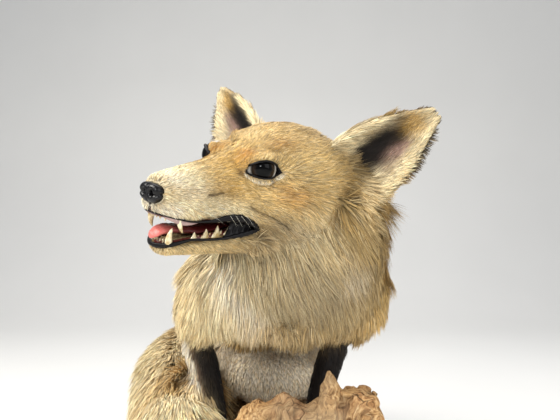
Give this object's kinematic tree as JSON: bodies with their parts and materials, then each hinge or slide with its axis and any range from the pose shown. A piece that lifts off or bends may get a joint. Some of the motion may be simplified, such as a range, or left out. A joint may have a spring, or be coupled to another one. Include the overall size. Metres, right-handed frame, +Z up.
{
  "type": "taxidermy red fox",
  "caption": "Life-size mounted red fox, crouched on a driftwood root with its head turned and its mouth open.",
  "frame": {"origin": "centre of the driftwood's flat underside, on the floor", "axes": "+Z up; the fox's body faces -Y; its right side is -X"},
  "size_m": [0.3236, 0.5002, 0.4574],
  "materials": {
    "sandy_coat": "sandy red fox fur, long and soft",
    "pale_coat": "cream fox fur, long and soft",
    "black_coat": "short black fox fur",
    "nose_skin": "black skin, glossy and grained",
    "eye_glass": "dark brown glass eye, polished",
    "tooth": "ivory teeth in dark gums",
    "tongue": "painted tongue, moist gloss",
    "driftwood": "bare tan driftwood, weathered, with cracks"
  },
  "bodies": {
    "root": {"head": "sandy_coat", "lower_jaw": "pale_coat", "upper_teeth": "tooth", "lower_teeth": "tooth", "tongue": "tongue", "nose": "nose_skin", "ear_left": "sandy_coat", "ear_right": "sandy_coat", "eye_left": "eye_glass", "eye_right": "eye_glass", "neck": "pale_coat", "trunk": "sandy_coat", "upper_foreleg_right": "sandy_coat", "forearm_right": "black_coat", "forepaw_right": "black_coat", "thigh_right": "sandy_coat", "hind_foot_right": "sandy_coat", "upper_foreleg_left": "sandy_coat", "forearm_left": "black_coat", "forepaw_left": "black_coat", "thigh_left": "sandy_coat", "hind_foot_left": "sandy_coat", "tail_base": "sandy_coat", "tail_middle": "sandy_coat", "tail_tip": "pale_coat", "driftwood": "driftwood"}
  },
  "joints": []
}
